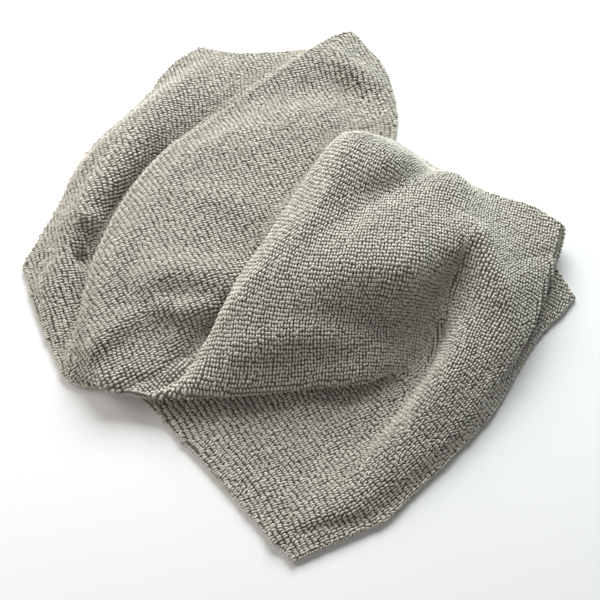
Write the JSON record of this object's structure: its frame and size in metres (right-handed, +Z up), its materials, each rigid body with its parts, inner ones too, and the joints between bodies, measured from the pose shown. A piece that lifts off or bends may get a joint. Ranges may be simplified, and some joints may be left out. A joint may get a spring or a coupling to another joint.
{
  "type": "microfibre cloth",
  "caption": "Square looped microfibre cloth lying in loose overlapping folds, one corner flat in front and a soft hump behind it.",
  "frame": {"origin": "middle of the bounding box in plan, on the surface that the cloth lies on", "axes": "+Z up, -Y towards the flat front corner, +X towards the corner that looks out on the right"},
  "size_m": [0.32, 0.383, 0.0429],
  "materials": {
    "cloth_sheet": "matt looped pile, warm grey"
  },
  "bodies": {
    "root": {"cloth_sheet": "cloth_sheet"}
  },
  "joints": []
}
